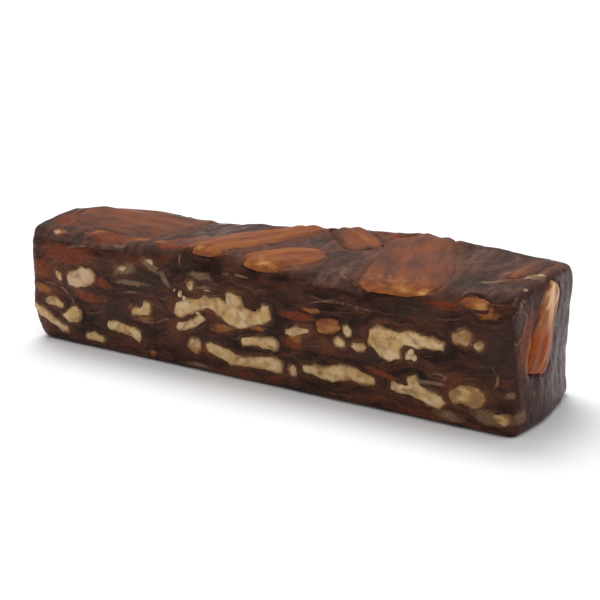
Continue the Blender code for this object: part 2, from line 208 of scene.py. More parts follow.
def rim_places(name):
    """Places every half millimetre along the outline of the face that a kernel or whole date shows."""
    edges = bmesh.new()
    edges.from_mesh(nodes[name].data)
    bmesh.ops.remove_doubles(edges, verts=edges.verts, dist=0.001 * MM)
    outward = -INWARD[shown_face(name)]
    places = []
    for edge in edges.edges:
        shown = [face.normal.dot(outward) > 0.6 for face in edge.link_faces]
        if shown.count(True) == 1:
            start, end = (vert.co for vert in edge.verts)
            steps = max(1, round((end - start).length / (0.5 * MM)))
            places += [start.lerp(end, step / steps) for step in range(steps)]
    edges.free()
    return places


def flat_place(face, place):
    """A place seen square on to a face of the block."""
    first, second = FACE_AXES[face]
    return Vector((place[first], place[second], 0))


def rim_finder(face, names):
    """A search tree of the outlines on one face."""
    shown = [name for name in names if shown_face(name) == face]
    places = [flat_place(face, place) for name in shown for place in rim_places(name)]
    finder = kdtree.KDTree(len(places))
    for index, place in enumerate(places):
        finder.insert(place, index)
    finder.balance()
    return finder


def kernel_tree():
    """All kernels as one search tree, with the kernel that each face belongs to."""
    corners, faces, owners = [], [], []
    for name in kernel_names:
        first = len(corners)
        mesh = nodes[name].data
        corners += [vert.co.copy() for vert in mesh.vertices]
        faces += [[first + index for index in face.vertices] for face in mesh.polygons]
        owners += [name] * len(mesh.polygons)
    return BVHTree.FromPolygons(corners, faces), owners


def middle_height(name, x):
    """The height of a kernel's middle line at a place along it."""
    near = [vert.co.z for vert in nodes[name].data.vertices if abs(vert.co.x - x) < 2.5 * MM]
    if not near:
        near = [vert.co.z for vert in nodes[name].data.vertices]
    return (min(near) + max(near)) / 2


# Where one date differs from the next the paste changes colour. Each row is a face, the middle of a patch in
# mm along and across that face, its half length and half width, and its turn in degrees.
PATCHES = {
    "red": [
        ("front", -74, 33.0, 16, 5.0, 3),
        ("front", -88, 26, 5, 7, 90),
        ("front", -66, 19, 8, 2.6, -10),
        ("front", -60, 25, 9, 2.2, -8),
        ("front", 22.7, 25.1, 8, 2.0, 0),
        ("front", 20.9, 16.2, 5, 2.2, -6),
        ("front", 70, 36.5, 12, 2.2, -4),
        ("front", 52, 12, 7, 1.2, -12),
        ("front", -8, 8, 14, 1.6, -4),
        ("front", 42, 8, 9, 1.4, -8),
        ("right", -15, 27, 12, 3.4, 62),
        ("top", -56, -17, 16, 6.5, 8),
        ("top", -30, -20, 9, 3.0, -10),
        ("top", -84, -10, 9, 8, 30),
        ("top", -66, 16, 14, 5, 0),
        ("top", -30, -12, 9, 5, 60),
        ("top", 38, 15, 12, 3, -20),
    ],
    "amber": [
        ("front", -87.5, 18.8, 5.5, 2.2, -12),
        ("front", -39, 14.6, 4.0, 1.6, 12),
        ("front", 27.8, 27.5, 4.5, 1.0, 0),
        ("front", -36.1, 2.8, 1.5, 1.5, 0),
        ("front", 22, 18.6, 3.2, 2.4, 0),
        ("front", -6, 16.5, 6, 1.6, 8),
        ("front", 7, 19, 5, 1.3, -4),
        ("front", 81.5, 36.2, 7.0, 2.8, -22),
        ("top", -81, -20, 4.2, 1.9, 8),
        ("top", -45, -17, 3.6, 2.4, 20),
        ("top", -37, -17, 3.0, 2.4, 30),
        ("top", -66, -16, 5.5, 1.3, 20),
        ("right", -14, 22, 8, 3.0, 60),
        ("right", -5, 34.5, 5, 2.2, 50),
    ],
    "tan": [
        ("front", -47.5, 31.0, 6.5, 2.6, 14),
        ("front", -36.3, 33.8, 5.5, 1.9, -25),
        ("front", -30.0, 30.0, 4.5, 1.5, -52),
        ("front", -45, 26.5, 9.0, 1.2, 2),
        ("front", -14.8, 32.8, 5.5, 1.7, 0),
        ("front", -14.0, 29.0, 5.0, 0.7, 6),
        ("front", -16.1, 2.3, 6.0, 1.0, 0),
        ("front", 67, 12.0, 7.0, 0.9, 4),
        ("front", 73.9, 3.3, 5.4, 1.9, -6),
        ("front", 92.1, 12.3, 2.6, 1.5, 10),
        ("front", 77.1, 27.4, 4.2, 2.6, 0),
        ("front", -57, 39.3, 4.0, 0.9, 4),
        ("top", -52, -22.3, 6.0, 1.4, 6),
        ("top", 87, -3.7, 7.5, 2.4, 28),
        ("top", 83, 1, 7.0, 1.8, 60),
        ("top", 80, -11, 5.0, 1.2, 35),
        ("front", 86.5, 5.2, 6.5, 2.7, -8),
        ("right", -20.5, 38.3, 2.4, 1.6, 30),
        ("right", -20.5, 5.5, 4.0, 2.4, 10),
        ("right", -17.0, 36.0, 2.4, 1.0, 80),
    ],
    "pale": [
        ("front", -79.8, 40.3, 3.2, 1.3, 6),
        ("front", -48.5, 31.0, 2.4, 1.0, 12),
        ("front", -36.0, 34.8, 2.4, 0.9, -10),
        ("front", -12.2, 28.4, 2.2, 0.45, 0),
        ("top", -82.0, -20.5, 2.2, 1.0, 0),
        ("top", 86, -4.5, 3.0, 1.0, 20),
        ("top", 90, 0, 2.2, 0.8, 50),
        ("top", 90.5, -12, 1.4, 0.7, 60),
    ],
    "dark": [
        ("front", -54, 16, 8, 4.4, 0),
        ("front", -40, 27, 11, 5.0, 4),
        ("front", -22, 37, 7, 4, 0),
        ("front", 60, 33, 15, 3.6, 0),
        ("front", 47, 16, 6, 3, 0),
        ("front", 88, 24, 8, 9, 0),
        ("front", -12, 12, 6, 2, 0),
        ("front", 5, 5, 14, 2, 0),
        ("top", 24, -6, 9, 5, 50),
        ("top", 12, 8, 6, 3, 60),
        ("top", 75, -14, 9, 6, 20),
    ],
}
PATCH_HIDDEN_SHIFT = 9  # mm; the cut at the back and the left end repeat these patches, mirrored and shifted


def hidden_rows(rows):
    """The same kinds of patch on the sides that face away."""
    turned = {"front": "back", "right": "left"}
    return [
        (turned[face], PATCH_HIDDEN_SHIFT - along, across, half_length, half_width, -turn)
        for face, along, across, half_length, half_width, turn in rows
        if face in turned
    ]


def patch_values(rows, places, weights):
    """1 at the middle of each patch, 0 at its edge, and -1 far from all of them."""
    values = np.full(len(places), -1.0)
    for face, along, across, half_length, half_width, turn in rows:
        first, second = FACE_AXES[face]
        u = places[:, first] / MM - along
        v = places[:, second] / MM - across
        cosine, sine = math.cos(math.radians(turn)), math.sin(math.radians(turn))
        reach = np.hypot((u * cosine + v * sine) / half_length, (v * cosine - u * sine) / half_width)
        values = np.maximum(values, weights[face] * (2 - reach) - 1)
    return values


def lay_out_paste(piece):
    """Gives the paste its relief, and the values that its colours follow."""
    mesh = piece.data
    tree, owners = kernel_tree()
    kernel_rims = {face: rim_finder(face, kernel_names) for face in ("front", "back", "left")}
    date_rims = rim_finder("top", date_names)
    middles = {}
    count = len(mesh.vertices)
    layer, topness, endness, rim, warmth = ([0.0] * count for _ in range(5))
    weights = {face: np.zeros(count) for face in INWARD}
    moves = []
    for vert in mesh.vertices:
        ease_edge(vert.co)
    mesh.update()
    for vert in mesh.vertices:
        point, normal = vert.co, vert.normal
        on_top = smooth_step(0.45, 0.85, normal.z)
        on_end = smooth_step(0.45, 0.85, abs(normal.x)) * (1 - on_top)
        on_cut = smooth_step(0.35, 0.75, abs(normal.y)) * (1 - on_top)
        weights["top"][vert.index] = on_top
        weights["front" if point.y < 0 else "back"][vert.index] = on_cut
        weights["right" if point.x > 0 else "left"][vert.index] = on_end
        place, _, index, distance = tree.find_nearest(point)
        pull = math.exp(-((distance / LAYER_REACH) ** 2))
        key = (owners[index], round(place.x / MM))
        if key not in middles:
            middles[key] = middle_height(owners[index], place.x)
        height = point.z - pull * (place.z - middles[key])
        height += 1.6 * MM * wave(Vector((point.x, point.y, height * 0.5)), 26 * MM, 1.7)
        height += 0.5 * MM * wave(Vector((point.x, point.y, height)), 8 * MM, 4.1)
        layer[vert.index] = height
        topness[vert.index] = on_top
        endness[vert.index] = on_end

        rim_distance = 1.0
        if distance < RIM_SEARCH:
            at_left = point.x < block_low.x + 3 * MM and on_end > 0.5
            face = "left" if at_left else "front" if point.y < 0 else "back"
            rim_distance = kernel_rims[face].find(flat_place(face, point))[2]
        rim[vert.index] = min(distance, rim_distance) if rim_distance < 1 else distance
        lap = math.exp(-((rim_distance / LAP_REACH) ** 2)) * (0.45 + 0.9 * wave(point, 2.2 * MM, 5.2))
        if on_top > 0 and point.z > block_high.z - TOP_BAND:
            soak = date_rims.find(flat_place("top", point))[2]
            warmth[vert.index] = on_top * math.exp(-((soak / WARM_REACH) ** 2))
            uneven = 1.0 + 0.9 * wave(point, 4 * MM, 2.6)
            lap += on_top * math.exp(-((soak / DATE_LAP_REACH) ** 2)) * uneven

        sheet = Vector((point.x * 0.25, point.y * 0.25, height))
        drag = relief(sheet, KNIFE_DRAG)
        torn = relief(point, TORN_PASTE)
        fold = Vector((point.x * 0.8, point.y * 0.35, point.z * 0.5))
        wrinkle = 0.30 * MM * folded(fold, 5.5 * MM, 5.9) + 0.12 * MM * wave(fold, 2 * MM, 7.7)
        strand = Vector((point.x * 0.5, point.y, point.z * 0.3))
        cord = relief(strand, END_CORDS)
        plain = max(0.0, 1 - on_top - on_end - on_cut)
        move = on_cut * (drag + torn) + on_top * (wrinkle + torn) + on_end * (cord + torn) + plain * torn
        move += LAP_RISE * max(0.0, lap)
        if point.z < BASE_BAND:
            move *= max(0.0, point.z / BASE_BAND)
        moves.append(normal * move)
    for vert, move in zip(mesh.vertices, moves):
        vert.co += move
        vert.co.z = max(0.0, vert.co.z)
    keep_values(mesh, layer=layer, topness=topness, endness=endness, rim=rim, warmth=warmth)
    places = np.array([vert.co for vert in mesh.vertices])
    for tone, rows in PATCHES.items():
        keep_values(mesh, **{tone: patch_values(rows + hidden_rows(rows), places, weights)})
    mesh.shade_smooth()


def new_finish(name):
    """An empty material: its node tree and its Principled shader."""
    finish = bpy.data.materials.new(name)
    finish.use_nodes = True
    return finish, finish.node_tree, finish.node_tree.nodes["Principled BSDF"]


def math_node(tree, operation, *values):
    """A Math node. Each value is a number or a socket."""
    node = tree.nodes.new("ShaderNodeMath")
    node.operation = operation
    for socket, value in zip(node.inputs, values):
        if isinstance(value, (int, float)):
            socket.default_value = value
        else:
            tree.links.new(value, socket)
    return node.outputs[0]


def scaled(tree, value, factor, offset=0.0):
    """A value times a factor, plus an offset."""
    return math_node(tree, "MULTIPLY_ADD", value, factor, offset)


def attribute(tree, name):
    node = tree.nodes.new("ShaderNodeAttribute")
    node.attribute_name = name
    return node.outputs["Fac"]


def attribute_in_mm(tree, name):
    return scaled(tree, attribute(tree, name), 1 / MM)


def roughened(tree, value, ragged, amount):
    """A value pushed up and down by noise, so that a threshold on it has a ragged edge."""
    return math_node(tree, "ADD", value, scaled(tree, ragged, amount, -amount / 2))


def places_in_mm(tree):
    """The three coordinates on the cake, in mm."""
    place = tree.nodes.new("ShaderNodeTexCoord").outputs["Object"]
    split = tree.nodes.new("ShaderNodeSeparateXYZ")
    tree.links.new(place, split.inputs[0])
    return [scaled(tree, socket, 1 / MM) for socket in split.outputs]


def clouds(tree, places, lengths, detail=4.0, roughness=0.55):
    """Noise from 0 to 1 over three places in mm, with features of the given lengths in mm."""
    join = tree.nodes.new("ShaderNodeCombineXYZ")
    for socket, place, length in zip(join.inputs, places, lengths):
        tree.links.new(scaled(tree, place, 1 / length), socket)
    node = tree.nodes.new("ShaderNodeTexNoise")
    node.inputs["Scale"].default_value = 1
    node.inputs["Detail"].default_value = detail
    node.inputs["Roughness"].default_value = roughness
    tree.links.new(join.outputs[0], node.inputs["Vector"])
    return node.outputs["Fac"]


def ramp(tree, factor, *stops):
    """A colour ramp. Each stop is a place and a colour."""
    node = tree.nodes.new("ShaderNodeValToRGB")
    points = node.color_ramp.elements
    while len(points) < len(stops):
        points.new(0.5)
    for point, (place, colour) in zip(points, stops):
        point.position = place
        point.color = (*colour, 1)
    tree.links.new(factor, node.inputs[0])
    return node.outputs[0]


def blend(tree, amount, under, over):
    """Mixes two colours, each a socket or a colour."""
    node = tree.nodes.new("ShaderNodeMix")
    node.data_type = "RGBA"
    sockets = [socket for socket in node.inputs if socket.type == "RGBA"]
    for socket, value in zip(sockets, (under, over)):
        if isinstance(value, tuple):
            socket.default_value = (*value, 1)
        else:
            tree.links.new(value, socket)
    if isinstance(amount, (int, float)):
        node.inputs[0].default_value = amount
    else:
        tree.links.new(amount, node.inputs[0])
    return next(socket for socket in node.outputs if socket.type == "RGBA")


def threshold(tree, value, low, high):
    """0 below low, 1 above high, smooth between."""
    node = tree.nodes.new("ShaderNodeMapRange")
    node.interpolation_type = "SMOOTHSTEP"
    node.inputs["From Min"].default_value = low
    node.inputs["From Max"].default_value = high
    tree.links.new(value, node.inputs["Value"])
    return node.outputs["Result"]


def thin_line(tree, value, middle, half_width):
    """1 where a value crosses middle, falling to 0 at half_width either side."""
    away = math_node(tree, "ABSOLUTE", math_node(tree, "SUBTRACT", value, middle))
    return math_node(tree, "SUBTRACT", 1.0, threshold(tree, away, 0.0, half_width))


def tinted(tree, colour, brightness):
    """A colour made brighter or darker by a value."""
    node = tree.nodes.new("ShaderNodeVectorMath")
    node.operation = "SCALE"
    tree.links.new(colour, node.inputs[0])
    tree.links.new(brightness, node.inputs["Scale"])
    return node.outputs[0]


def add_bump(tree, shader, height, distance, strength):
    bump = tree.nodes.new("ShaderNodeBump")
    bump.inputs["Distance"].default_value = distance
    bump.inputs["Strength"].default_value = strength
    tree.links.new(height, bump.inputs["Height"])
    tree.links.new(bump.outputs[0], shader.inputs["Normal"])


def let_light_in(shader, mirrored, share, reach, depth):
    """How strongly a surface mirrors, and how much light soaks in, how far for each colour."""
    shader.inputs["Specular IOR Level"].default_value = mirrored
    shader.inputs["Subsurface Weight"].default_value = share
    shader.inputs["Subsurface Radius"].default_value = reach
    shader.inputs["Subsurface Scale"].default_value = depth


PASTE_DEEP = (0.017, 0.007, 0.005)
PASTE_DARK = (0.040, 0.014, 0.009)
PASTE_BROWN = (0.062, 0.023, 0.013)
PASTE_RED = (0.105, 0.030, 0.014)
PATCH_COLOURS = {
    "red": (0.18, 0.038, 0.012),
    "amber": (0.30, 0.105, 0.028),
    "tan": (0.19, 0.115, 0.062),
    "pale": (0.50, 0.33, 0.20),
    "dark": (0.034, 0.020, 0.014),
}
PATCH_STRENGTHS = {"red": 0.75, "amber": 0.8, "tan": 0.8, "pale": 0.9, "dark": 0.7}
# pale lines in the cut: partly the date skin's own colour, partly a painted highlight where skin edges catch
# light
PALE_SKIN_AND_HIGHLIGHT = (0.20, 0.10, 0.06)
KERNEL_HALO = (0.17, 0.075, 0.030)
TOP_DARK = (0.042, 0.020, 0.014)
TOP_PLUM = (0.078, 0.034, 0.025)
TOP_TAN = (0.16, 0.085, 0.055)
TOP_WARM = (0.16, 0.055, 0.027)
END_DARK = (0.036, 0.014, 0.011)
END_PLUM = (0.068, 0.024, 0.018)


def paste_finish():
    finish, tree, shader = new_finish("pressed_date_paste")
    x, y, z = places_in_mm(tree)
    layer = attribute_in_mm(tree, "layer")
    broad = clouds(tree, (x, layer, y), (20, 7.5, 20), detail=2.0)
    mottled = clouds(tree, (x, layer, y), (6, 2.4, 6), detail=5.0, roughness=0.62)
    mixed = math_node(tree, "ADD", scaled(tree, broad, 0.5), scaled(tree, mottled, 0.5))
    cut_colour = ramp(
        tree,
        mixed,
        (0.40, PASTE_DEEP),
        (0.47, PASTE_DARK),
        (0.53, PASTE_BROWN),
        (0.61, PASTE_RED),
    )
    drift = clouds(tree, (x, layer, y), (30, 12, 30), detail=1.0)
    turns = math_node(tree, "ADD", scaled(tree, layer, 1 / 3.1), scaled(tree, drift, 2.4))
    # Thin pale lines of date skin in the cut: partly the skin's own colour, partly a painted highlight where
    # the skin edges catch light.
    skin_and_highlight_lines = thin_line(tree, math_node(tree, "FRACT", turns), 0.5, 0.09)
    shown = threshold(tree, clouds(tree, (x, layer, y), (13, 5, 13), detail=2.0), 0.52, 0.62)
    lines = math_node(tree, "MULTIPLY", skin_and_highlight_lines, shown)
    cut_colour = blend(tree, scaled(tree, lines, 0.45), cut_colour, PALE_SKIN_AND_HIGHLIGHT)

    folds = clouds(tree, (x, y, z), (4, 12, 8), detail=5.0, roughness=0.6)
    top_colour = ramp(tree, folds, (0.38, TOP_DARK), (0.55, TOP_PLUM), (0.72, TOP_TAN))
    top_colour = blend(tree, scaled(tree, attribute(tree, "warmth"), 0.55), top_colour, TOP_WARM)
    strands = clouds(tree, (z, y, x), (9, 2.6, 9), detail=5.0, roughness=0.6)
    end_colour = ramp(tree, strands, (0.38, END_DARK), (0.62, END_PLUM))
    colour = blend(tree, attribute(tree, "topness"), cut_colour, top_colour)
    colour = blend(tree, attribute(tree, "endness"), colour, end_colour)

    ragged = clouds(tree, (x, y, z), (2.4, 1.6, 1.4), detail=5.0, roughness=0.65)
    for tone in ("dark", "red", "tan", "amber", "pale"):
        edge = roughened(tree, attribute(tree, tone), ragged, 1.5)
        amount = scaled(tree, threshold(tree, edge, 0.0, 0.55), PATCH_STRENGTHS[tone])
        colour = blend(tree, amount, colour, PATCH_COLOURS[tone])
    halo_at = roughened(tree, attribute_in_mm(tree, "rim"), ragged, 3.0)
    halo = math_node(tree, "SUBTRACT", 1.0, threshold(tree, halo_at, 0.2, 1.4))
    halo_zone = threshold(tree, clouds(tree, (x, layer, y), (7, 4, 7), detail=2.0), 0.36, 0.62)
    halo = math_node(tree, "MULTIPLY", halo, scaled(tree, halo_zone, 0.35))
    colour = blend(tree, halo, colour, KERNEL_HALO)
    specks = clouds(tree, (x, layer, y), (1.8, 0.9, 1.8), detail=4.0, roughness=0.7)
    colour = tinted(tree, colour, scaled(tree, specks, 1.5, 0.27))
    tree.links.new(colour, shader.inputs["Base Color"])

    fine = clouds(tree, (x, layer, y), (1.5, 0.9, 1.5), detail=4.0)
    tree.links.new(scaled(tree, fine, 0.5, 0.08), shader.inputs["Roughness"])
    add_bump(tree, shader, fine, 0.35 * MM, 0.7)
    let_light_in(shader, 0.085, 0.15, (1.0, 0.35, 0.15), 2 * MM)
    return finish


def dress(piece, finish):
    """Puts a finish on a piece, which rides on the cake."""
    piece.data.materials.clear()
    piece.data.materials.append(finish)
    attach(piece, "root")


paste = paste_core()
lay_out_paste(paste)
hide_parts("date_mass")
dress(paste, paste_finish())

# Edges of date skin stand out of the cut as thin pale curls and ridges where the knife folded them over.
# Each is a tapered thread of skin that follows the face, half sunk in the paste.
THREAD_WIDTH = 0.62 * MM  # half the width at the middle of a thread
THREAD_SINK = 0.15 * MM
THREAD_FLATNESS = 0.5  # how high a thread is for its width
THREAD_STEPS = 5  # between one turn of a route and the next
THREAD_SIDES = 6
FRONT_THREADS = {
    "left_high": [(-74.4, 35.3), (-70.1, 36.2), (-65.1, 36.7)],
    "left_middle": [(-53.1, 21.7), (-45.6, 23.3), (-38.3, 23.5)],
    "left_low": [(-60.9, 19.3), (-57.3, 18.7), (-55.5, 18.3)],
    "left_curl": [(-89.0, 21.0), (-81.2, 21.3), (-75.7, 19.3), (-71.3, 15.0), (-69.7, 10.9)],
    "under_hook": [(-47.0, 14.1), (-39.2, 13.6), (-33.3, 14.5), (-27.4, 17.1)],
    "crease": [(-23.1, 41.0), (-23.7, 38.1), (-23.0, 33.7)],
    "high_ridge": [(23.6, 37.3), (32.4, 38.7), (39.7, 37.4), (43.0, 35.6), (52.5, 36.1)],
    "mid_ridge": [(23.6, 29.0), (33.8, 31.4), (43.7, 31.1), (51.3, 29.9)],
    "loop": [(83.9, 20.0), (86.2, 19.9), (88.0, 17.4), (87.6, 14.6), (85.4, 13.0)],
    "low_curl": [(66.0, 13.6), (69.0, 15.0), (72.6, 14.8), (71.4, 13.2)],
    "rough_one": [(73.4, 27.6), (76.0, 29.4), (79.6, 28.6), (78.4, 26.2)],
    "rough_two": [(74.5, 25.4), (77.8, 26.6), (81.0, 25.2)],
    "short_one": [(-8, 34.5), (-2, 35.0), (5, 34.2)],
    "short_two": [(-14, 24.6), (-9, 25.2), (-4, 24.7)],
}
RIGHT_THREADS = {
    "end_loop": [
        (-21.8, 29.4),
        (-21.6, 33.6),
        (-18.2, 35.6),
        (-14.6, 33.4),
        (-16.6, 29.3),
        (-20.6, 26.6),
        (-21.6, 29.0),
    ],
    "end_curl": [(-20.5, 38.0), (-17.5, 38.9), (-14.5, 37.0), (-12.5, 34.8)],
    "end_low": [(-12, 12), (-14.5, 9), (-15.5, 5.5)],
}
HIDDEN_THREAD_SHIFT = 6 * MM  # the back repeats the threads of the front, mirrored and shifted
RAY_START = 0.3  # metres out from the middle of the cake


def smooth_route(turns):
    """Even steps along a curve through the turns of a route."""
    points = [Vector((u, v, 0)) * MM for u, v in turns]
    points = [2 * points[0] - points[1], *points, 2 * points[-1] - points[-2]]
    route = []
    for before, start, end, after in zip(points, points[1:], points[2:], points[3:]):
        for step in range(THREAD_STEPS):
            t = step / THREAD_STEPS
            bend = (2 * before - 5 * start + 4 * end - after) * t * t
            bend += (3 * start - before - 3 * end + after) * t**3
            route.append(start + ((end - before) * t + bend) / 2)
    return route + [points[-2]]


def surface_place(tree, face, flat):
    """Where a place seen square on to a face lies on the paste, and which way the paste faces there."""
    place = -INWARD[face] * RAY_START
    first, second = FACE_AXES[face]
    place[first], place[second] = flat.x, flat.y
    hit, normal, _, _ = tree.ray_cast(place, INWARD[face])
    return hit, normal


def add_thread(mesh, tree, face, route):
    """One tapered thread of skin along a route on a face."""
    spine = [surface_place(tree, face, flat) for flat in route]
    spine = [(hit, normal) for hit, normal in spine if hit]
    rings = []
    for index, (hit, normal) in enumerate(spine):
        ahead = spine[min(index + 1, len(spine) - 1)][0] - spine[max(index - 1, 0)][0]
        side = normal.cross(ahead).normalized()
        taper = math.sin(math.pi * (index + 0.35) / (len(spine) - 0.3)) ** 0.6
        width = THREAD_WIDTH * taper * (1 + 0.4 * wave(hit, 3 * MM, 7.3))
        centre = hit - normal * THREAD_SINK
        ring = []
        for corner in range(THREAD_SIDES):
            angle = 2 * math.pi * corner / THREAD_SIDES
            place = centre + side * width * math.cos(angle)
            place += normal * width * THREAD_FLATNESS * math.sin(angle)
            ring.append(mesh.verts.new(place))
        rings.append(ring)
    for ring, following in zip(rings, rings[1:]):
        for corner in range(THREAD_SIDES):
            after = (corner + 1) % THREAD_SIDES
            mesh.faces.new((ring[corner], ring[after], following[after], following[corner]))
    mesh.faces.new(rings[0][::-1])
    mesh.faces.new(rings[-1])


def skin_threads():
    tree = BVHTree.FromObject(paste, bpy.context.evaluated_depsgraph_get())
    made = bmesh.new()
    for turns in FRONT_THREADS.values():
        route = smooth_route(turns)
        add_thread(made, tree, "front", route)
        add_thread(made, tree, "back", [Vector((HIDDEN_THREAD_SHIFT - flat.x, flat.y, 0)) for flat in route])
    for turns in RIGHT_THREADS.values():
        route = smooth_route(turns)
        add_thread(made, tree, "right", route)
        add_thread(made, tree, "left", [Vector((-flat.x, flat.y, 0)) for flat in route])
    bmesh.ops.recalc_face_normals(made, faces=made.faces)
    mesh = bpy.data.meshes.new("skin_threads")
    made.to_mesh(mesh)
    made.free()
    mesh.shade_smooth()
    return new_piece("skin_threads", mesh)


THREAD_PALE = (0.20, 0.10, 0.062)
THREAD_BROWN = (0.050, 0.020, 0.012)


def thread_finish():
    finish, tree, shader = new_finish("edge_of_date_skin")
    places = places_in_mm(tree)
    patchy = clouds(tree, places, (3, 3, 3), detail=3.0)
    colour = ramp(tree, patchy, (0.40, THREAD_BROWN), (0.60, THREAD_PALE))
    tree.links.new(colour, shader.inputs["Base Color"])
    grain = clouds(tree, places, (0.7, 0.7, 0.7))
    tree.links.new(scaled(tree, grain, 0.3, 0.3), shader.inputs["Roughness"])
    add_bump(tree, shader, grain, 0.1 * MM, 0.5)
    let_light_in(shader, 0.12, 0.3, (1.0, 0.5, 0.25), 1 * MM)
    return finish


dress(skin_threads(), thread_finish())

# Walnut kernels, halved and broken by the press, are gripped by the paste where it set round them.
# The knife left them flush and cream-coloured, with the thin brown skin showing as a line round each lobe.
# Painted shade darkens the thin creases between the lobes of each cut kernel.
KERNEL_GRAIN = 0.42 * MM
KERNEL_SOFTENING = 9
KERNEL_PROUD = 0.10 * MM  # how far a cut kernel stands out of the cut
KERNEL_FILL = 0.4 * MM  # how much of the gap round it a kernel takes up
KERNEL_LOBES = ((0.95, 3.8, 6.6), (0.45, 1.6, 2.2))
KERNEL_TONES = {  # how pale, how pink and how oily each kernel is; the others are in between
    "walnut_front_01": (0.7, 0.8, 0.1),
    "walnut_front_10": (0.8, 0.3, 0.1),
    "walnut_front_11": (0.2, 0.8, 0.5),
    "walnut_front_14": (0.3, 0.8, 0.3),
    "walnut_front_15": (0.9, 0.2, 0.0),
    "walnut_front_18": (0.2, 0.8, 0.5),
    "walnut_front_20": (0.5, 0.0, 0.2),
    "walnut_front_21": (1.0, 0.2, 0.0),
    "walnut_front_23": (0.1, 0.0, 0.8),
    "walnut_front_24": (0.0, 0.3, 0.9),
    "walnut_front_27": (0.0, 0.7, 1.0),
}
KERNEL_PLAIN = (0.45, 0.15, 0.25)


def cut_kernel(name):
    """A finely meshed copy of a kernel, its lobes softened and its cut face swelled between them."""
    piece = new_piece("cut_" + name, nodes[name].data.copy())
    remesh(piece, KERNEL_GRAIN, KERNEL_SOFTENING)
    face = shown_face(name)
    inward = INWARD[face]
    finder = rim_finder(face, [name])
    mesh = piece.data
    count = len(mesh.vertices)
    faced, rim = [0.0] * count, [0.0] * count
    moves = []
    for vert in mesh.vertices:
        outward = -vert.normal.dot(inward)
        faced[vert.index] = smooth_step(0.35, 0.85, outward)
        rim[vert.index] = finder.find(flat_place(face, vert.co))[2]
        lobed = relief(vert.co, KERNEL_LOBES, KERNEL_FILL)
        swell = 0.25 * MM * (1 - math.exp(-rim[vert.index] / (1.2 * MM))) * faced[vert.index]
        moves.append(vert.normal * (lobed * (1 - 0.8 * faced[vert.index])) - inward * (KERNEL_PROUD + swell))
    for vert, move in zip(mesh.vertices, moves):
        vert.co += move
    pale, pink, oily = KERNEL_TONES.get(name, KERNEL_PLAIN)
    keep_values(mesh, faced=faced, rim=rim, pale=[pale] * count, pink=[pink] * count, oily=[oily] * count)
    mesh.shade_smooth()
    return piece


KERNEL_CREAM = (0.51, 0.31, 0.110)
KERNEL_PALE = (0.62, 0.46, 0.26)
KERNEL_PINK = (0.50, 0.30, 0.19)
# the oily tone of a kernel, also used as the painted shade in the creases between its lobes
KERNEL_OIL_AND_CREASE_SHADE = (0.26, 0.135, 0.045)
KERNEL_SKIN = (0.10, 0.040, 0.016)
LOBE_SIZE = 6.5  # mm from one crease between lobes to the next


def lobe_crease_shade(tree, places, ragged):
    """1 along the thin creases between the lobes of a kernel, where painted shade darkens them."""
    join = tree.nodes.new("ShaderNodeCombineXYZ")
    for socket, place in zip(join.inputs, places):
        bent = math_node(tree, "ADD", scaled(tree, place, 1 / LOBE_SIZE), scaled(tree, ragged, 0.35))
        tree.links.new(bent, socket)
    cells = tree.nodes.new("ShaderNodeTexVoronoi")
    cells.feature = "DISTANCE_TO_EDGE"
    cells.inputs["Scale"].default_value = 1
    tree.links.new(join.outputs[0], cells.inputs["Vector"])
    crease = math_node(tree, "SUBTRACT", 1.0, threshold(tree, cells.outputs["Distance"], 0.0, 0.16))
    deep = clouds(tree, places, (7, 7, 7), detail=1.0)
    return math_node(tree, "MULTIPLY", crease, threshold(tree, deep, 0.46, 0.62))


def kernel_finish():
    finish, tree, shader = new_finish("cut_walnut_kernel")
    places = places_in_mm(tree)
    lobes = clouds(tree, places, (5, 5, 5), detail=3.0)
    pale_at = roughened(tree, scaled(tree, attribute(tree, "pale"), 0.5), lobes, 1.6)
    flesh = blend(tree, threshold(tree, pale_at, 0.05, 0.5), KERNEL_CREAM, KERNEL_PALE)
    flesh = blend(tree, scaled(tree, attribute(tree, "pink"), 0.6), flesh, KERNEL_PINK)
    stained = clouds(tree, places, (3.2, 3.2, 2.4), detail=4.0)
    oily_at = roughened(tree, scaled(tree, attribute(tree, "oily"), 0.5), stained, 1.8)
    flesh = blend(tree, threshold(tree, oily_at, 0.1, 0.55), flesh, KERNEL_OIL_AND_CREASE_SHADE)
    ragged = clouds(tree, places, (1.3, 1.3, 1.3), detail=4.0)
    inside = roughened(tree, attribute_in_mm(tree, "rim"), ragged, 1.6)
    flesh = blend(tree, threshold(tree, inside, 0.1, 1.0), KERNEL_OIL_AND_CREASE_SHADE, flesh)
    # painted shade in the creases between the lobes, in the dark oily tone
    flesh = blend(tree, scaled(tree, lobe_crease_shade(tree, places, ragged), 0.55), flesh, KERNEL_OIL_AND_CREASE_SHADE)
    colour = blend(tree, threshold(tree, inside, -0.2, 0.4), KERNEL_SKIN, flesh)
    colour = blend(tree, attribute(tree, "faced"), KERNEL_SKIN, colour)
    tree.links.new(colour, shader.inputs["Base Color"])
    tree.links.new(scaled(tree, ragged, 0.3, 0.3), shader.inputs["Roughness"])
    let_light_in(shader, 0.25, 0.25, (1.0, 0.6, 0.3), 1.2 * MM)
    add_bump(tree, shader, ragged, 0.25 * MM, 0.6)
    return finish


kernel_material = kernel_finish()
for name in kernel_names:
    kernel = cut_kernel(name)
    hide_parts(name)
    dress(kernel, kernel_material)

# Crumbs of kernel were dragged out by the knife and stuck to the cut.
# They are single lumps a millimetre or two across, half sunk in the paste.
CRUMBS = [  # mm along the front, mm up, half size in mm
    (-23.6, 25.8, 1.1),
    (-21.9, 24.6, 0.9),
    (-26.0, 26.6, 0.7),
    (61.4, 20.1, 1.3),
    (62.6, 18.9, 1.0),
    (60.3, 18.7, 0.8),
    (-15.9, 20.2, 0.9),
]
CRUMB_SINK = 0.5  # of its half size


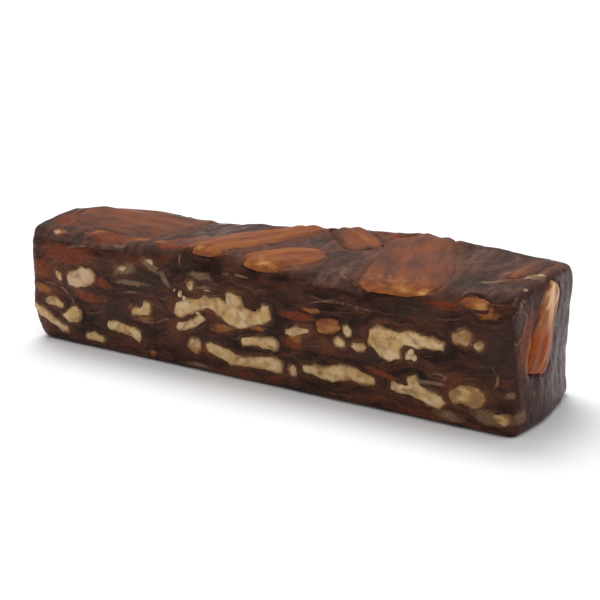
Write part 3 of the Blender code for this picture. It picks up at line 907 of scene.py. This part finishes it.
def kernel_crumbs():
    tree = BVHTree.FromObject(paste, bpy.context.evaluated_depsgraph_get())
    made = bmesh.new()
    for along, up, half in CRUMBS:
        for face, flat in (("front", Vector((along, up, 0)) * MM), ("back", Vector((-along, up, 0)) * MM)):
            hit, normal = surface_place(tree, face, flat)
            lump = bmesh.ops.create_icosphere(made, subdivisions=2, radius=half * MM)["verts"]
            for vert in lump:
                vert.co *= 1 + 0.8 * wave(vert.co + flat, 1.3 * half * MM, 4.7)
                vert.co += hit - normal * CRUMB_SINK * half * MM
    mesh = bpy.data.meshes.new("kernel_crumbs")
    made.to_mesh(mesh)
    made.free()
    count = len(mesh.vertices)
    keep_values(mesh, faced=[1.0] * count, rim=[1.2 * MM] * count, pale=[1.0] * count, pink=[0.2] * count)
    mesh.shade_smooth()
    return new_piece("kernel_crumbs", mesh)


dress(kernel_crumbs(), kernel_material)

# Whole dates were laid on top and pressed flat: a thin wrinkled skin, orange-brown where light gets through.
# Where the knife crossed them at the front edge their amber flesh shows. One is upright in the right end.
DATE_GRAIN = 0.5 * MM
DATE_SOFTENING = 8
DATE_TURNS = {
    "date_top_01": 3,
    "date_top_02": 66,
    "date_top_03": 46,
    "date_top_04": -38,
    "date_top_05": 107,
    "date_top_06": 84,
    "date_front_01": -6,
    "date_front_02": 12,
    "date_right_01": 51,
    "date_left_01": 25,
}
DATE_SINKS = {"front": 0.3 * MM, "right": 0.2 * MM, "left": 0.2 * MM}  # how far each kind is pressed in
DATE_STRETCH = 0.75  # 0 has round wrinkles, 1 has them run the whole length of a date
FRONT_FLESH = 0.7  # how far the dates cut on the front show flesh
DATE_WARMTHS = {  # 0 is plum-grey skin, 1 is orange-brown
    "date_top_01": 0.4,
    "date_top_02": 1.1,
    "date_top_03": 1.15,
    "date_top_04": 0.55,
    "date_top_05": 0.4,
    "date_top_06": 0.45,
    "date_front_01": 0.9,
    "date_front_02": 0.8,
    "date_right_01": 1.0,
    "date_left_01": 0.8,
}


def pressed_date(name):
    """A finely meshed copy of a whole date, wrinkled along its length."""
    piece = new_piece("skin_" + name, nodes[name].data.copy())
    remesh(piece, DATE_GRAIN, DATE_SOFTENING)
    face = shown_face(name)
    finder = rim_finder(face, [name])
    mesh = piece.data
    turn = math.radians(DATE_TURNS[name])
    along = Vector((0, 0, 0))
    along[FACE_AXES[face][0]] = math.cos(turn)
    along[FACE_AXES[face][1]] = math.sin(turn)
    low, high = (corner.z for corner in map(Vector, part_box(name)))
    count = len(mesh.vertices)
    flesh, rim, lift, run, across = ([0.0] * count for _ in range(5))
    moves = []
    for vert in mesh.vertices:
        ease_edge(vert.co)
    mesh.update()
    beside = along.cross(INWARD[face])
    for vert in mesh.vertices:
        squeezed = vert.co - along * vert.co.dot(along) * DATE_STRETCH
        ridge = 0.30 * MM * folded(squeezed, 4.2 * MM, 1.9) + 0.10 * MM * wave(squeezed, 1.6 * MM, 3.7)
        rim[vert.index] = finder.find(flat_place(face, vert.co))[2]
        lift[vert.index] = (vert.co.z - low) / (high - low)
        run[vert.index] = vert.co.dot(along)
        across[vert.index] = vert.co.dot(beside)
        moves.append(vert.normal * ridge + INWARD[face] * DATE_SINKS.get(face, 0))
        near_cut = 0.65 * smooth_step(block_low.y + 4.2 * MM, block_low.y + 1.8 * MM, vert.co.y)
        near_cut += 0.35 * smooth_step(block_low.y + 11 * MM, block_low.y + 4 * MM, vert.co.y)
        cut = smooth_step(0.5, 0.9, -vert.normal.y)
        if face == "top" and vert.co.y < 0:
            flesh[vert.index] = max(cut, near_cut)
        elif face == "front":
            flesh[vert.index] = FRONT_FLESH
    for vert, move in zip(mesh.vertices, moves):
        vert.co += move
    warm = [DATE_WARMTHS[name]] * count
    upright = [float(face == "right")] * count
    keep_values(mesh, flesh=flesh, rim=rim, warm=warm, lift=lift, run=run, across=across, upright=upright)
    mesh.shade_smooth()
    return piece


DATE_PLUM = (0.072, 0.032, 0.024)
DATE_BROWN = (0.15, 0.049, 0.025)
DATE_RUST = (0.22, 0.064, 0.022)
DATE_AMBER = (0.30, 0.098, 0.024)
DATE_FLESH = (0.50, 0.24, 0.075)
DATE_GLOW = (0.34, 0.070, 0.012)
DATE_GOLD = (0.36, 0.14, 0.05)
DATE_CREAM = (0.78, 0.49, 0.27)


def date_finish():
    finish, tree, shader = new_finish("whole_date_skin")
    x, y, z = places_in_mm(tree)
    run = attribute_in_mm(tree, "run")
    across = attribute_in_mm(tree, "across")
    streaks = clouds(tree, (across, z, run), (3.0, 12, 22), detail=5.0, roughness=0.62)
    broad = clouds(tree, (across, z, run), (8, 12, 16), detail=2.0)
    mixed = math_node(tree, "ADD", scaled(tree, streaks, 0.55), scaled(tree, broad, 0.75, -0.15))
    toned = math_node(tree, "ADD", mixed, scaled(tree, attribute(tree, "warm"), 0.30, -0.15))
    skin = ramp(tree, toned, (0.30, DATE_PLUM), (0.46, DATE_BROWN), (0.62, DATE_RUST), (0.80, DATE_AMBER))
    ragged = clouds(tree, (x, y, z), (1.8, 1.8, 1.2), detail=4.0)
    inside = roughened(tree, attribute_in_mm(tree, "rim"), ragged, 2.4)
    high = threshold(tree, attribute(tree, "lift"), 0.4, 0.85)
    upright = blend(tree, high, DATE_GLOW, DATE_CREAM)
    streaked = blend(tree, high, DATE_RUST, DATE_GOLD)
    upright = blend(tree, threshold(tree, streaks, 0.42, 0.56), streaked, upright)
    upright = blend(tree, threshold(tree, inside, -0.4, 1.3), PATCH_COLOURS["red"], upright)
    skin = blend(tree, threshold(tree, inside, 0.0, 2.6), TOP_PLUM, skin)
    skin = blend(tree, attribute(tree, "upright"), skin, upright)
    flesh_at = roughened(tree, attribute(tree, "flesh"), ragged, 1.2)
    marbled = clouds(tree, (x, y, z), (6, 3.5, 3.5), detail=3.0)
    flesh = ramp(tree, marbled, (0.36, DATE_RUST), (0.48, DATE_AMBER), (0.66, DATE_FLESH))
    flesh = blend(tree, threshold(tree, inside, -0.3, 0.8), PASTE_RED, flesh)
    colour = blend(tree, threshold(tree, flesh_at, 0.10, 1.0), skin, flesh)
    tree.links.new(colour, shader.inputs["Base Color"])
    fine = clouds(tree, (x, y, z), (1.3, 1.3, 1.3), detail=4.0)
    tree.links.new(scaled(tree, fine, 0.35, 0.22), shader.inputs["Roughness"])
    let_light_in(shader, 0.12, 0.3, (1.0, 0.4, 0.15), 2.5 * MM)
    add_bump(tree, shader, math_node(tree, "ADD", fine, streaks), 0.25 * MM, 0.6)
    return finish


date_material = date_finish()
for name in date_names:
    skin = pressed_date(name)
    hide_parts(name)
    dress(skin, date_material)

# The cake stands on a sheet of white paper, long enough to run out of sight.
PAPER_HALF = 40  # metres from the cake to each edge
floor_mesh = bpy.data.meshes.new("paper")
floor_bm = bmesh.new()
bmesh.ops.create_grid(floor_bm, x_segments=8, y_segments=8, size=PAPER_HALF)
floor_bm.to_mesh(floor_mesh)
floor_bm.free()
paper = new_piece("paper", floor_mesh)
paper_finish, _, paper_shader = new_finish("white_paper")
paper_shader.inputs["Base Color"].default_value = (0.9, 0.9, 0.905, 1)
paper_shader.inputs["Roughness"].default_value = 0.9
paper_shader.inputs["Specular IOR Level"].default_value = 0.0
paper.data.materials.append(paper_finish)

# Light: a white tent, bright overhead and down at the paper's edge and dimmer between, and a broad soft sun
# high at the back left that gives the shadow in front of the cake and to its right.
TENT_BANDS = ((0.50, 1.0), (0.52, 1.0), (0.56, 0.27), (0.74, 0.36), (0.92, 1.0))  # height, brightness
SUN_FROM = Vector((-0.42, 0.38, 0.82))  # left, back and up
world = bpy.data.worlds.new("white_tent")
bpy.context.scene.world = world
world.use_nodes = True
tent = world.node_tree
direction = tent.nodes.new("ShaderNodeTexCoord").outputs["Generated"]
heights = tent.nodes.new("ShaderNodeSeparateXYZ")
tent.links.new(direction, heights.inputs[0])
stops = [(height, (bright, bright, bright)) for height, bright in TENT_BANDS]
bands = ramp(tent, scaled(tent, heights.outputs[2], 0.5, 0.5), *stops)
tent.links.new(bands, tent.nodes["Background"].inputs["Color"])
tent.nodes["Background"].inputs["Strength"].default_value = 1.05

sun_light = bpy.data.lights.new("broad_sun", "SUN")
sun_light.energy = 2.1
sun_light.angle = math.radians(35)
sun = bpy.data.objects.new("broad_sun", sun_light)
bpy.context.scene.collection.objects.link(sun)
sun.visible_glossy = False  # mirrored, it would grey the rounded top edge
sun.rotation_euler = SUN_FROM.to_track_quat("Z", "Y").to_euler()

# The camera stands a little above the cake, to its right, as the photograph was taken.
CAMERA_AIM = Vector((8.14, 0, 22.7)) * MM
CAMERA_TURN = math.radians(32.65)
CAMERA_RISE = math.radians(14.9)
CAMERA_DISTANCE = 343 * MM
camera_data = bpy.data.cameras.new("camera")
camera_data.sensor_width = 36
camera_data.lens = 61.8
camera_data.clip_start = 0.01
camera = bpy.data.objects.new("camera", camera_data)
bpy.context.scene.collection.objects.link(camera)
back = Vector((
    math.sin(CAMERA_TURN) * math.cos(CAMERA_RISE),
    -math.cos(CAMERA_TURN) * math.cos(CAMERA_RISE),
    math.sin(CAMERA_RISE),
))
camera.location = CAMERA_AIM + back * CAMERA_DISTANCE
camera.rotation_euler = back.to_track_quat("Z", "Y").to_euler()
bpy.context.scene.camera = camera
bpy.context.scene.view_settings.view_transform = "Standard"
